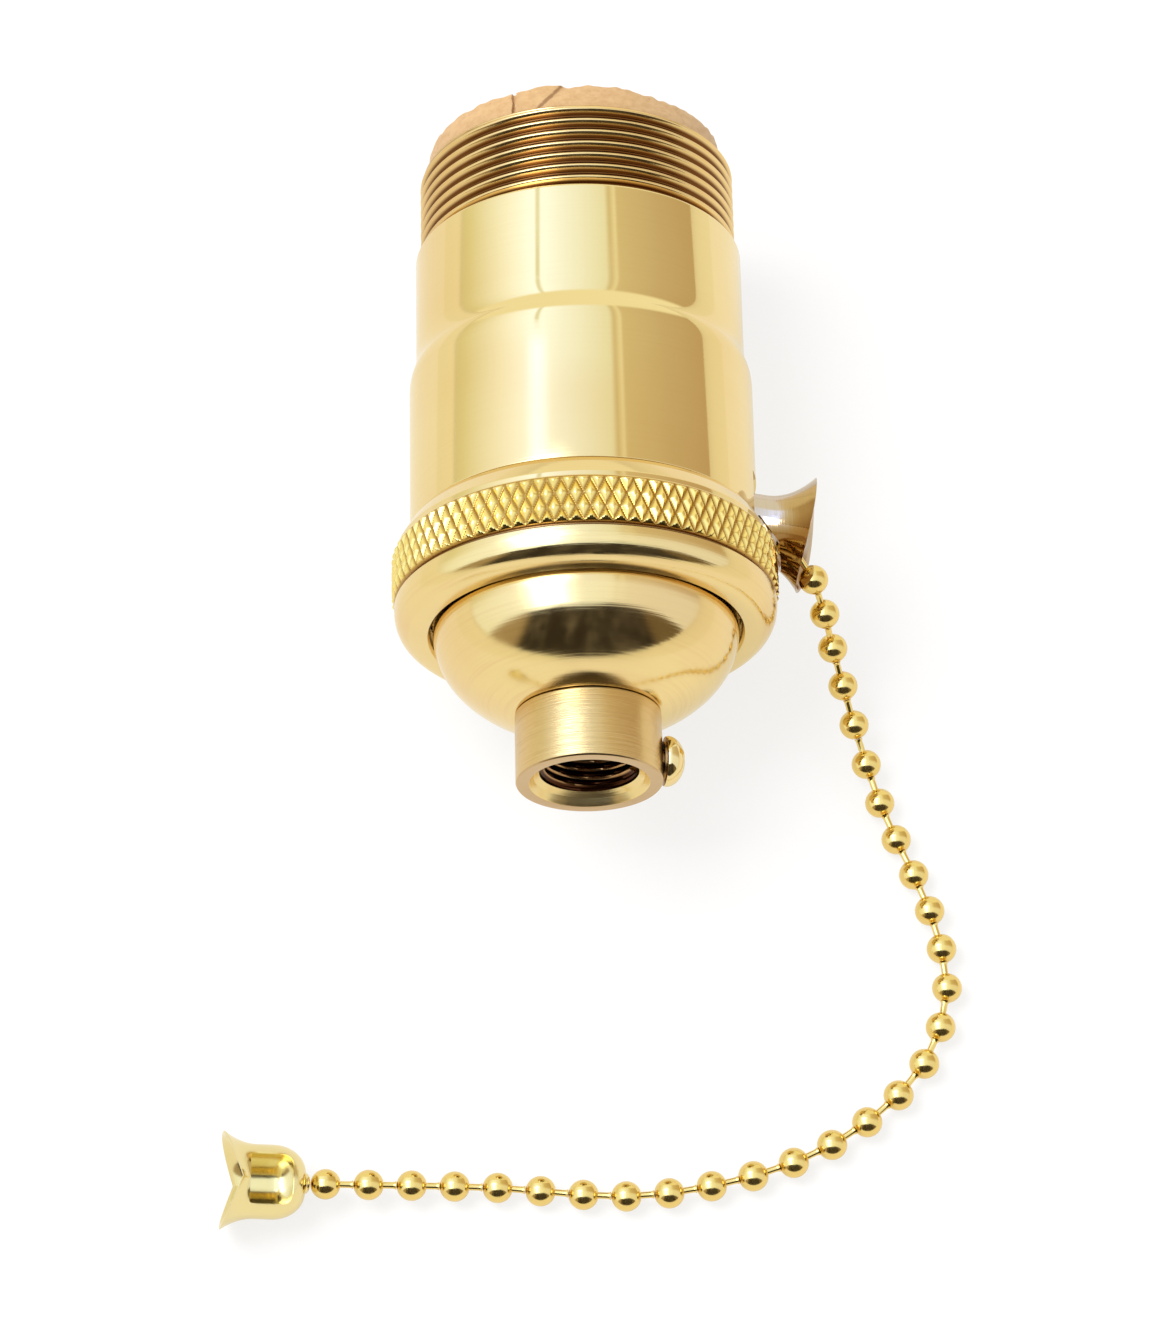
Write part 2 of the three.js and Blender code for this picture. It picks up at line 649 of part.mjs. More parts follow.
// One bead with the link that reaches back along -Y to the bead before it.
function bead() {
  const linkEnd = BEAD.radius + BEAD.pinGap - BEAD.pitch;
  const ball = ballOutline(0, false, true).slice(1);
  return lathe([[0, BEAD.radius], ...ball, [BEAD.pin, linkEnd], [0, linkEnd]], BEAD_ROUND);
}

// The straight run of beads between the switch lever and the funnel.
function innerChain() {
  const outline = [];
  for (let i = 0; i < INNER_BEADS; i++) {
    outline.push(...ballOutline(-i * BEAD.pitch, i > 0, i < INNER_BEADS - 1));
  }
  outline[0] = [0, BEAD.radius];
  outline[outline.length - 1] = [0, -(INNER_BEADS - 1) * BEAD.pitch - BEAD.radius];
  return lathe(outline, BEAD_ROUND);
}

// A small bell along +Y from the last bead: collar, domed shoulder, a window in its upper side and a
// notched flare.
function bellEnd() {
  const skin = (inset) => {
    const shoulder = arc(4, (t) => {
      const angle = (Math.PI / 2) * t;
      const radius = BELL.collar + (BELL.radius - BELL.collar) * Math.sin(angle) - inset;
      return [radius, BELL.full - (BELL.full - BELL.shoulder - inset) * Math.cos(angle)];
    });
    const flare = arc(4, (t) => {
      const radius = BELL.radius + (BELL_MOUTH.radius - BELL.radius) * t * t - inset;
      return [radius, BELL_MOUTH.from + (BELL_MOUTH.at - BELL_MOUTH.from) * t];
    });
    return [...shoulder, ...flare];
  };
  const inner = skin(BELL.wall).reverse();
  const outline = [[0, BELL.from], [BELL.collar, BELL.from], ...skin(0), ...inner];
  const body = lathe([...outline, [0, BELL.shoulder + BELL.wall]], 20);
  shiftAlongY(body, (x, y, z) => {
    const share = (y - BELL_MOUTH.from) / (BELL_MOUTH.at - BELL_MOUTH.from);
    const outward = THREE.MathUtils.clamp(share, 0, 1);
    const acrossNotch = Math.abs(x) / Math.max(Math.hypot(x, z), 1e-6);
    return -BELL_MOUTH.notch * outward * (1 - acrossNotch);
  });
  const { from, to, halfWidth, corner } = BELL_WINDOW;
  const window = [
    [-halfWidth + corner, from],
    [halfWidth - corner, from],
    [halfWidth, from + corner],
    [halfWidth, to],
    [-halfWidth, to],
    [-halfWidth, from + corner],
  ];
  return cut(body, plate(window, 0, BELL_MOUTH.radius + 1));
}

// ---------------------------------------------------------------- the assembly

place("outer_shell", outerShell(), polishedBrass());
place("insulating_sleeve", insulatingSleeve(), fibre());
place("knurled_ring", knurledRing(), polishedBrass());
place("dome_cap", domeCap(), polishedBrass());
place("threaded_hub", threadedHub(), brushedBrass());
place("hub_locknut", hubLocknut(), brushedBrass());
place("chain_funnel", chainFunnel(), nickel());

const setScrewPiece = place("set_screw", setScrew(), polishedBrass());
const setScrewWay = new THREE.Vector3(1, 0, 0).applyAxisAngle(yAxis, radians(-SET_SCREW.turn));
setScrewPiece.position.y = SET_SCREW.y;
setScrewPiece.quaternion.copy(turnTo(setScrewWay));

place("switch_base", switchBase(), phenolic());
place("socket_seat", socketSeat(), porcelain());
place("lamp_screw_shell", lampScrewShell(), brushedBrass());
place("centre_contact", centreContact(), polishedBrass());
place("contact_rivet", contactRivet(), copper());
place("upper_contact_blade", upperBlade(), copper());
place("lower_contact_blade", lowerBlade(), copper());
place("hot_terminal", hotTerminal(), polishedBrass());
place("neutral_strap", neutralStrap(), nickel());

for (const [name, side, material] of [["hot", 1, polishedBrass()], ["neutral", -1, nickel()]]) {
  const screw = place(`terminal_screw_${name}`, cheeseScrew(TERMINAL_SCREW), material);
  screw.position.set(side * TERMINAL.x, TERMINAL.from - 0.1 - TERMINAL_SCREW.headHeight, 0);
}
for (const [name, side] of [["upper", 1], ["lower", -1]]) {
  place(`assembly_screw_${name}`, assemblyScrew(), springSteel()).position.z = side * ASSEMBLY_SCREW.z;
}

const rotor = [
  place("rotor_shaft", rotorShaft(), springSteel()),
  place("ratchet_wheel", ratchetWheel(), phenolic()),
  place("contact_cam", contactCam(), copper()),
];
const lever = [
  place("pull_lever", pullLever(), springSteel()),
  place("drive_pawl", drivePawl(), springSteel()),
];
const spring = place("return_spring", returnSpring(), springSteel());
for (const piece of [...rotor, ...lever, spring]) {
  piece.position.copy(shaftAt);
  piece.rotation.z = radians(leverTurn);
}

const run = place("inner_chain", innerChain(), platedGold());
run.position.copy(beadCentre(0));
run.quaternion.copy(turnTo(chainWay));

const beadGeometry = bead();
for (let i = 1; i <= OUTER_BEADS; i++) {
  const link = place(`chain_bead_${String(i).padStart(2, "0")}`, beadGeometry, platedGold());
  link.position.copy(beadCentre(i));
  link.quaternion.copy(turnTo(beadCentre(i).sub(beadCentre(i - 1)).normalize()));
}

const bell = place("bell_end", bellEnd(), platedGold());
const bellWay = beadCentre(OUTER_BEADS).sub(beadCentre(OUTER_BEADS - 1)).setZ(0).normalize();
bellWay.multiplyScalar(Math.cos(radians(BELL_MOUTH.lift))).setZ(Math.sin(radians(BELL_MOUTH.lift)));
bell.position.copy(beadCentre(OUTER_BEADS));
bell.quaternion.copy(turnTo(bellWay));

const bounds = new THREE.Box3().setFromObject(pieces, true);
const middle = bounds.getCenter(new THREE.Vector3());
pieces.position.set(-middle.x, -middle.y, -bounds.min.z);

export default pieces;
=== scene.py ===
"""A pull-chain lampholder lying on a pale bench: polished brass shell, clamp ring and cap, a brushed
threaded hub, a nickel chain funnel, a fibre sleeve and a gold ball chain that ends in a bell.

Every piece is built in millimetres in a frame of its own, whose Y axis is the piece's turning axis, and
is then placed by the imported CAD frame. Lengths in materials, lights and camera settings are in metres."""

import json
import math

import bmesh
import bpy
from mathutils import Matrix, Vector, noise


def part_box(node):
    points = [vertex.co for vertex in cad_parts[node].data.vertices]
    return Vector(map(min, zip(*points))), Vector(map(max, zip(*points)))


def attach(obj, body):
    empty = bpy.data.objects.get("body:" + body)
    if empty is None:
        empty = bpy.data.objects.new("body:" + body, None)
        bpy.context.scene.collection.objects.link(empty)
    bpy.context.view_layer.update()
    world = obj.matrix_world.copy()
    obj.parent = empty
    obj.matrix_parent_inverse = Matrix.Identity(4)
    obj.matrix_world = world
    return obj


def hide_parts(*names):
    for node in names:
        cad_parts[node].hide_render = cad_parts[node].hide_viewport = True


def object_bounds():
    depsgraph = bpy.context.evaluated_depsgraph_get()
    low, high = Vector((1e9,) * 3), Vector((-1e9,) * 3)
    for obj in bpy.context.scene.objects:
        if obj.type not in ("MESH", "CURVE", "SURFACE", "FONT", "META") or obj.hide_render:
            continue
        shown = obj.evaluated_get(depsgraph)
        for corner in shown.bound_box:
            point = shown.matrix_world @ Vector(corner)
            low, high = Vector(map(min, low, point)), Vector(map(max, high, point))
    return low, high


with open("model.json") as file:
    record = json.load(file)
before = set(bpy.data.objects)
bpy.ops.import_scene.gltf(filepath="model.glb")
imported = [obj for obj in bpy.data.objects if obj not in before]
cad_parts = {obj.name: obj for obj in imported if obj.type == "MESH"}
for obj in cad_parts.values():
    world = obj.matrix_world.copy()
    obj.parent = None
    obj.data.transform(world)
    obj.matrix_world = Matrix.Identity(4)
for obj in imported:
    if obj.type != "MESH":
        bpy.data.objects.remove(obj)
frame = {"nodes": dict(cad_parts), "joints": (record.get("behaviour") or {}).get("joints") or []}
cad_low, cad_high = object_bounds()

MM = 0.001
TURN = 2 * math.pi
Y_AXIS = Vector((0, 1, 0))

# ---------------------------------------------------------------- places, from the CAD frame

pivots = {joint["child"]: Vector(joint["pos_m"]) for joint in frame["joints"] if "pos_m" in joint}
axes = {joint["child"]: Vector(joint["axis"]) for joint in frame["joints"]}


def along(origin, direction):
    """The frame at origin whose Y axis points along direction."""
    return Matrix.LocRotScale(origin, Y_AXIS.rotation_difference(direction), None)


ring_centre = pivots["clamp_ring"]
hub_end = Vector((ring_centre.x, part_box("threaded_hub")[0].y, ring_centre.z))
SOCKET = Matrix.Translation(hub_end)

BEADS = 30
bead_names = [f"chain_bead_{i:02d}" for i in range(1, BEADS + 1)]
bead_bodies = [f"bead_{i:02d}" for i in range(1, BEADS + 1)]
# The first centre is that of the last bead of the inner chain, on which the first laid-out bead hinges.
bead_centres = [pivots[body] for body in bead_bodies] + [pivots["bell"]]

# ---------------------------------------------------------------- node materials

# The mix node has sockets for every data type, and these are the colour ones.
MIX_COLOUR_A, MIX_COLOUR_B, MIX_COLOUR_OUT = 6, 7, 2


class Graph:
    """A small wrapper that adds nodes to a node tree and links them by socket."""

    def __init__(self, tree):
        self.tree = tree
        tree.nodes.clear()

    def node(self, kind, inputs=None, **settings):
        made = self.tree.nodes.new(kind)
        for key, value in settings.items():
            setattr(made, key, value)
        for key, value in (inputs or {}).items():
            self.feed(made.inputs[key], value)
        return made

    def feed(self, socket, value):
        if isinstance(value, bpy.types.NodeSocket):
            self.tree.links.new(value, socket)
        elif isinstance(value, (tuple, list, Vector)) and socket.type == "RGBA":
            socket.default_value = (*value, 1)[:4]
        else:
            socket.default_value = value

    def place(self):
        """Where a point lies in its object's own space, in metres."""
        return self.node("ShaderNodeTexCoord").outputs["Object"]

    def split(self, vector):
        return self.node("ShaderNodeSeparateXYZ", {0: vector}).outputs

    def math(self, operation, a, b=0.0):
        return self.node("ShaderNodeMath", {0: a, 1: b}, operation=operation).outputs[0]

    def scaled(self, vector, factors):
        return self.node("ShaderNodeVectorMath", {0: vector, 1: factors}, operation="MULTIPLY").outputs[0]

    def noise(self, vector, scale, detail=2.0, roughness=0.5):
        inputs = {"Vector": vector, "Scale": scale, "Detail": detail, "Roughness": roughness}
        return self.node("ShaderNodeTexNoise", inputs).outputs["Fac"]

    def span(self, value, low, high, to_low=0.0, to_high=1.0):
        """Goes smoothly from to_low to to_high while value goes from low to high."""
        inputs = {"Value": value, "From Min": low, "From Max": high, "To Min": to_low, "To Max": to_high}
        return self.node("ShaderNodeMapRange", inputs, interpolation_type="SMOOTHSTEP").outputs[0]

    def band(self, value, low, full_from, full_to, high):
        """Rises from 0 at low to 1 at full_from, and falls from 1 at full_to to 0 at high."""
        return self.math("MULTIPLY", self.span(value, low, full_from), self.span(value, high, full_to))

    def blend(self, factor, a, b):
        inputs = {"Factor": factor, MIX_COLOUR_A: a, MIX_COLOUR_B: b}
        return self.node("ShaderNodeMix", inputs, data_type="RGBA").outputs[MIX_COLOUR_OUT]

    def bump(self, height, strength, distance):
        inputs = {"Height": height, "Strength": strength, "Distance": distance}
        return self.node("ShaderNodeBump", inputs).outputs[0]


SPECK = (0.12, 0.07, 0.03)
SMOOTHEST = 0.03


def material(name):
    made = bpy.data.materials.new(name)
    made.use_nodes = True
    return made, Graph(made.node_tree)


def finish_surface(graph, **inputs):
    named = {key.replace("_", " "): value for key, value in inputs.items()}
    surface = graph.node("ShaderNodeBsdfPrincipled", named)
    graph.node("ShaderNodeOutputMaterial", {"Surface": surface.outputs[0]})


def turned_radius(graph, place):
    """How far a point lies from the piece's Y axis, in millimetres."""
    flat = graph.scaled(place, (1 / MM, 0, 1 / MM))
    return graph.node("ShaderNodeVectorMath", {0: flat}, operation="LENGTH").outputs["Value"]


def tarnish_and_shade_in_roots(crest, root):
    """Painted shade in the roots of a thread or knurl (tarnish too on the shade thread): full at the root
    radius and none at the crest radius.
    """
    return lambda graph, place: graph.span(turned_radius(graph, place), crest, root)


def below(unshaded, dark):
    """Painted shade along the piece's Y axis: full at y = dark and none at y = unshaded, in millimetres."""
    return lambda graph, place: graph.span(graph.split(place)["Y"], unshaded * MM, dark * MM)


def metal(
    name,
    colour,
    worn,
    roughness,
    grain,
    depth,
    spread=0.04,
    pits=0.0,
    wear=0.35,
    lined=0.1,
    darkening=None,
    darkened=None,
):
    """A metal with turning marks. grain is how fast the marks change along x, y and z, per metre, and
    depth how deep they are. wear, lined and pits are how strongly worn patches, the lines of the grain and
    dark specks show. The last two arguments say where a darker colour lies over them and which, as painted
    shade, with tarnish too in the shade thread's roots."""
    made, graph = material(name)
    place = graph.place()
    marks = graph.noise(graph.scaled(place, grain), 1.0, 3.0, 0.6)
    cloud = graph.noise(place, 160.0, 3.0)
    film = graph.noise(place, 45.0, 2.0)
    tint = graph.blend(graph.span(film, 0.4, 0.75, 0.0, wear), colour, worn)
    tint = graph.blend(graph.span(marks, 0.45, 0.7, 0.0, lined), tint, worn)
    dust = graph.node("ShaderNodeTexVoronoi", {"Vector": place, "Scale": 210.0})
    cell = graph.node("ShaderNodeSeparateColor", {0: dust.outputs["Color"]}).outputs[0]
    rare = graph.math("GREATER_THAN", cell, 0.9)
    speck = graph.math("MULTIPLY", graph.span(dust.outputs["Distance"], 0.02, 0.05, 1.0, 0.0), rare)
    tint = graph.blend(graph.math("MULTIPLY", speck, pits), tint, SPECK)
    # Painted shade, and tarnish in the shade thread's roots: a darker colour laid where the mask says.
    if darkening:
        tint = graph.blend(darkening(graph, place), tint, darkened)
    rough = graph.span(cloud, 0.3, 0.7, roughness - spread, roughness + spread)
    rough = graph.math("ADD", rough, graph.math("MULTIPLY", marks, spread))
    rough = graph.math("MAXIMUM", rough, SMOOTHEST)
    normal = graph.bump(marks, 1.0, depth)
    finish_surface(graph, Base_Color=tint, Metallic=1.0, Roughness=rough, Normal=normal)
    return made


def ceramic(name, colour, dark, roughness, scale, depth, coat=0.0):
    """A moulded or fired material: soft mottling, and a fine uneven surface."""
    made, graph = material(name)
    place = graph.place()
    mottle = graph.noise(place, scale, 5.0, 0.6)
    tint = graph.blend(graph.span(mottle, 0.35, 0.7), colour, dark)
    normal = graph.bump(graph.noise(place, scale * 4, 4.0), 0.6, depth)
    glaze = {"Coat_Weight": coat, "Coat_Roughness": 0.08}
    finish_surface(graph, Base_Color=tint, Roughness=roughness, Normal=normal, **glaze)
    return made


# Two points (angle, y) on the slanting edge of the sleeve's outer wrap.
WRAP_LOW, WRAP_HIGH = (math.radians(108), 71.8), (math.radians(94), 75.6)
WRAP_SLOPE = (WRAP_HIGH[0] - WRAP_LOW[0]) / (WRAP_HIGH[1] - WRAP_LOW[1])


def wrap_edge(y):
    """The angle round the sleeve at which its outer wrap ends, at height y in millimetres."""
    return WRAP_LOW[0] + WRAP_SLOPE * (y - WRAP_LOW[1])


def fibre_material():
    """Pressed paper fibre: fine flecks, a soft felt of fibres that run round the sleeve, darker handling
    marks, and a dark line of painted shade where the outer wrap ends."""
    made, graph = material("fibre")
    place = graph.place()
    felt = graph.noise(graph.scaled(place, (900, 1500, 900)), 1.0, 6.0, 0.7)
    flecks = graph.noise(graph.scaled(place, (2200, 3200, 2200)), 1.0, 2.0)
    darkening = graph.noise(place, 90.0, 3.0)
    tint = graph.blend(graph.span(felt, 0.3, 0.75), (0.64, 0.42, 0.21), (0.53, 0.32, 0.14))
    tint = graph.blend(graph.span(flecks, 0.64, 0.76, 0.0, 0.4), tint, (0.30, 0.15, 0.05))
    tint = graph.blend(graph.span(darkening, 0.5, 0.75, 0.0, 0.35), tint, (0.46, 0.26, 0.12))
    # Painted shade: a dark line along the step where the outer wrap ends.
    inset, waver, unshaded, shaded = 0.012, 0.008, 0.024, 0.006
    x, y, z = graph.split(place)
    climb = graph.math("MULTIPLY", y, WRAP_SLOPE / MM)
    past = graph.math("SUBTRACT", graph.math("ARCTAN2", z, x), climb)
    past = graph.math("ABSOLUTE", graph.math("SUBTRACT", past, wrap_edge(0) - inset))
    past = graph.math("ADD", past, graph.span(felt, 0.35, 0.65, -waver, waver))
    tint = graph.blend(graph.span(past, unshaded, shaded, 0.0, 0.85), tint, (0.27, 0.14, 0.055))
    normal = graph.bump(felt, 0.5, 0.00008)
    finish_surface(graph, Base_Color=tint, Roughness=0.82, Sheen_Weight=0.15, Normal=normal)
    return made


BRASS = (0.87, 0.70, 0.35)
BRASS_WORN = (0.80, 0.56, 0.24)
CAP_BRASS = (0.86, 0.68, 0.32)
CAP_WORN = (0.80, 0.56, 0.27)

# How fast the marks on a metal change along x, y and z, per metre.
TURNED = (60, 5200, 60)
ISOTROPIC = (900, 900, 900)

METALS = {
    "polished_brass": dict(
        colour=BRASS,
        worn=BRASS_WORN,
        roughness=0.05,
        grain=TURNED,
        depth=1.2e-6,
        spread=0.02,
        pits=0.9,
        wear=0.5,
    ),
    "spun_brass": dict(
        colour=CAP_BRASS,
        worn=CAP_WORN,
        roughness=0.11,
        grain=TURNED,
        depth=8e-6,
        pits=0.4,
        wear=0.8,
        lined=0.35,
    ),
    "lathe_brass": dict(
        colour=CAP_BRASS,
        worn=CAP_WORN,
        roughness=0.12,
        grain=TURNED,
        depth=2e-5,
        pits=0.4,
        wear=0.8,
        lined=0.35,
    ),
    "knurled_brass": dict(
        colour=(0.97, 0.78, 0.28),
        worn=(0.88, 0.60, 0.16),
        roughness=0.10,
        grain=(300, 2600, 300),
        depth=1e-5,
        # Painted shade: the grooves darken towards their roots.
        darkening=tarnish_and_shade_in_roots(20.52, 20.24),
        darkened=(0.46, 0.25, 0.05),
    ),
    "brushed_brass": dict(
        colour=(0.72, 0.51, 0.23),
        worn=(0.55, 0.34, 0.14),
        roughness=0.19,
        grain=(90, 9000, 90),
        depth=4e-5,
        spread=0.05,
        pits=0.6,
        wear=0.4,
        lined=0.3,
    ),
    "satin_brass": dict(
        colour=CAP_BRASS,
        worn=(0.78, 0.56, 0.25),
        roughness=0.2,
        grain=TURNED,
        depth=1e-5,
    ),
    "dull_brass": dict(
        colour=(0.60, 0.42, 0.22),
        worn=(0.46, 0.29, 0.14),
        roughness=0.20,
        grain=ISOTROPIC,
        depth=1e-5,
    ),
    # Painted shade, for the groove below the knurl and under the set screw's head.
    "shade_painted_brass": dict(
        colour=(0.36, 0.21, 0.08),
        worn=(0.24, 0.12, 0.04),
        roughness=0.22,
        grain=ISOTROPIC,
        depth=1e-5,
    ),
    "thread_brass": dict(
        colour=(0.74, 0.50, 0.22),
        worn=(0.52, 0.30, 0.12),
        roughness=0.22,
        grain=(80, 7000, 80),
        depth=2e-5,
        spread=0.06,
    ),
    "shade_thread": dict(
        colour=(0.86, 0.62, 0.28),
        worn=(0.62, 0.38, 0.14),
        roughness=0.13,
        grain=TURNED,
        depth=1e-5,
        wear=0.6,
        # Darker towards the thread roots: tarnish, and painted shade.
        darkening=tarnish_and_shade_in_roots(17.22, 16.84),
        darkened=(0.16, 0.06, 0.015),
    ),
    "hub_thread": dict(
        # The thread inside the hub's bore: its dark colour and its darker roots are painted shade.
        colour=(0.52, 0.31, 0.14),
        worn=(0.30, 0.16, 0.07),
        roughness=0.14,
        grain=TURNED,
        depth=1e-5,
        wear=0.6,
        darkening=tarnish_and_shade_in_roots(4.70, 4.95),
        darkened=(0.06, 0.02, 0.008),
    ),
    "gold_plate": dict(
        colour=(0.86, 0.64, 0.22),
        worn=(0.80, 0.54, 0.16),
        roughness=0.15,
        grain=ISOTROPIC,
        depth=3e-6,
        spread=0.02,
    ),
    "pale_gold": dict(
        colour=(0.84, 0.71, 0.35),
        worn=(0.80, 0.62, 0.26),
        roughness=0.13,
        grain=ISOTROPIC,
        depth=6e-6,
        spread=0.03,
    ),
    "nickel_plate": dict(
        colour=(0.64, 0.53, 0.42),
        worn=(0.44, 0.31, 0.20),
        roughness=0.085,
        grain=(5200, 90, 90),
        depth=1e-5,
        wear=0.7,
        # Painted shade: darker towards -Y, the side that faces the camera.
        darkening=below(0.6, -2.6),
        darkened=(0.36, 0.21, 0.10),
    ),
    "spring_steel": dict(
        colour=(0.58, 0.58, 0.60),
        worn=(0.42, 0.41, 0.42),
        roughness=0.30,
        grain=(900, 2600, 900),
        depth=2e-5,
    ),
    "copper": dict(
        colour=(0.80, 0.42, 0.24),
        worn=(0.55, 0.28, 0.16),
        roughness=0.28,
        grain=(700, 2400, 700),
        depth=2e-5,
    ),
}

CERAMICS = {
    "porcelain": dict(
        colour=(0.86, 0.84, 0.79),
        dark=(0.79, 0.76, 0.70),
        roughness=0.32,
        scale=240.0,
        depth=2e-5,
        coat=0.6,
    ),
    "phenolic": dict(
        colour=(0.035, 0.022, 0.016),
        dark=(0.06, 0.038, 0.026),
        roughness=0.45,
        scale=700.0,
        depth=3e-5,
    ),
}

FINISHES = {name: metal(name, **settings) for name, settings in METALS.items()}
FINISHES |= {name: ceramic(name, **settings) for name, settings in CERAMICS.items()}
FINISHES["fibre"] = fibre_material()

# ---------------------------------------------------------------- mesh helpers


def rounded(corners, steps=5):
    """An outline of (radius, y) corners. A corner's third number is the radius it is rounded to."""
    outline = []
    for i, corner in enumerate(corners):
        here = Vector(corner[:2])
        if len(corner) < 3:
            outline.append(tuple(here))
            continue
        before = Vector(corners[i - 1][:2]) - here
        after = Vector(corners[(i + 1) % len(corners)][:2]) - here
        half = before.angle(after) / 2
        reach = min(corner[2] / math.tan(half), before.length * 0.49, after.length * 0.49)
        start = here + before.normalized() * reach
        end = here + after.normalized() * reach
        middle = (before.normalized() + after.normalized()).normalized()
        centre = here + middle * (reach / math.cos(half))
        sweep = (start - centre).angle_signed(end - centre)
        for step in range(steps + 1):
            arm = start - centre
            arm.rotate(Matrix.Rotation(-sweep * step / steps, 2))
            outline.append(tuple(centre + arm))
    return outline


def spaced(low, high, count):
    return [low + (high - low) * i / count for i in range(count + 1)]


def revolve(outline, columns, shape=None, closed=True):
    """Vertices and faces of an outline of (radius, y) turned about Y. shape(angle, radius, y) gives the
    radius and y that a point is moved to."""
    vertices, rings = [], []
    for radius, y in outline:
        if radius == 0:
            rings.append([len(vertices)] * columns)
            vertices.append((0, y, 0))
            continue
        rings.append(range(len(vertices), len(vertices) + columns))
        for column in range(columns):
            angle = TURN * column / columns
            r, height = shape(angle, radius, y) if shape else (radius, y)
            vertices.append((r * math.cos(angle), height, r * math.sin(angle)))
    faces = []
    for below, above in zip(rings, [*rings[1:], rings[0]] if closed else rings[1:]):
        for column in range(columns):
            after = (column + 1) % columns
            corners = (below[column], below[after], above[after], above[column])
            face = tuple(dict.fromkeys(corners))
            if len(face) > 2:
                faces.append(face)
    return vertices, faces


def prism(outline, low, high):
    """A solid from an (x, y) outline, between two heights along z."""
    count = len(outline)
    vertices = [(x, y, z) for z in (low, high) for x, y in outline]
    sides = [(i, (i + 1) % count, count + (i + 1) % count, count + i) for i in range(count)]
    return vertices, [tuple(range(count))[::-1], tuple(range(count, 2 * count)), *sides]


def block(low, high):
    outline = [(low[0], low[1]), (high[0], low[1]), (high[0], high[1]), (low[0], high[1])]
    return prism(outline, low[2], high[2])


def moved(shape, matrix):
    vertices, faces = shape
    return [tuple(matrix @ Vector(v)) for v in vertices], faces


def mesh_object(name, shape):
    mesh = bpy.data.meshes.new(name)
    vertices, faces = shape
    mesh.from_pydata([Vector(v) * MM for v in vertices], [], faces)
    work = bmesh.new()
    work.from_mesh(mesh)
    bmesh.ops.recalc_face_normals(work, faces=work.faces)
    work.to_mesh(mesh)
    work.free()
    made = bpy.data.objects.new(name, mesh)
    bpy.context.scene.collection.objects.link(made)
    return made


def carve(made, *tools):
    """Cuts closed shapes out of an object's mesh."""
    for shape in tools:
        tool = mesh_object("tool", shape)
        cut = made.modifiers.new("cut", "BOOLEAN")
        cut.operation, cut.solver, cut.object = "DIFFERENCE", "EXACT", tool
        bpy.context.view_layer.update()
        evaluated = made.evaluated_get(bpy.context.evaluated_depsgraph_get())
        result = bpy.data.meshes.new_from_object(evaluated)
        made.modifiers.clear()
        made.data = result
        bpy.data.objects.remove(tool)


def dress(made, place, body, finish, nodes, sharp=30):
    """Shades, places and paints a built object, parents it to its body and hides the CAD nodes that it
    replaces. Its turn goes into the mesh, which keeps its bounding box tight."""
    made.data.shade_smooth()
    made.data.set_sharp_from_angle(angle=math.radians(sharp))
    made.data.materials.clear()
    made.data.materials.append(FINISHES[finish])
    made.data.transform(place.to_3x3().to_4x4())
    made.matrix_world = Matrix.Translation(place.translation)
    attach(made, body)
    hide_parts(*nodes)


def paint(made, finish, wanted):
    """Gives a second finish to the faces whose centre, in millimetres, is wanted."""
    made.data.materials.append(FINISHES[finish])
    index = len(made.data.materials) - 1
    for face in made.data.polygons:
        if wanted(face.center / MM):
            face.material_index = index


def smoothstep(low, high, value):
    """0 below low, 1 above high, and a smooth rise between."""
    t = min(max((value - low) / (high - low), 0.0), 1.0)
    return t * t * (3 - 2 * t)


def wave(u):
    """A rounded thread crest at every whole number, with a rounded valley between."""
    return 0.5 + 0.5 * math.cos(TURN * u)


# ---------------------------------------------------------------- brass shell with its shade thread

SHADE_THREAD = {"from": 62.2, "to": 72.07, "pitch": 1.41, "major": 17.33, "minor": 16.66}


def shade_thread(angle, radius, y):
    t = SHADE_THREAD
    if radius < t["major"] - 0.01 or not t["from"] < y < t["to"] + 0.2:
        return radius, y
    u = (y - t["from"]) / t["pitch"] + angle / TURN
    fade = smoothstep(t["from"], t["from"] + 0.5, y) * (1 - smoothstep(t["to"] - 0.3, t["to"] + 0.1, y))
    return radius - (t["major"] - t["minor"]) * fade * (1 - wave(u)), y


def build_shell():
    """The brass shell: a soft shoulder that narrows to a fine crease, then a hollow up to the thinner
    part. The chain's funnel leaves it through a slot."""
    thread_rows = [(SHADE_THREAD["major"], y) for y in spaced(62.25, 72.0, 140)]
    shoulder = [(18.65 - 0.38 * t**3, 45.2 + 2.7 * t) for t in spaced(0, 1, 14)]
    hollow = [(17.9 + 0.34 * (1 - t) ** 3, 47.96 + 2.9 * t) for t in spaced(0, 1, 14)]
    outside = [
        (18.2, 20.6, 0.15),
        (18.2, 28.86, 0.04),
        (18.65, 28.9, 0.12),
        *shoulder,
        *hollow,
        (17.9, 61.95, 0.35),
        (17.4, 62.2),
    ]
    inside = [
        (16.38, 72.2, 0.1),
        (16.38, 61.4, 0.2),
        (16.95, 60.9, 0.2),
        (16.95, 48.6, 0.5),
        (17.7, 47.2, 0.5),
        (17.7, 29.5, 0.2),
        (17.25, 28.9, 0.2),
        (17.25, 20.6, 0.15),
    ]
    rim = [(17.06, 72.2, 0.12)]
    corners = outside + thread_rows + rim + inside
    shell = mesh_object("outer_shell_turned", revolve(rounded(corners), 240, shade_thread))
    slot = block((14, 18, -4), (20, 34.3, 4))
    carve(shell, slot)
    dress(shell, SOCKET, "lampholder", "polished_brass", ["outer_shell"])
    # The shade thread's finish darkens its roots: tarnish, and painted shade.
    paint(shell, "shade_thread", lambda c: c.y > 62.1)


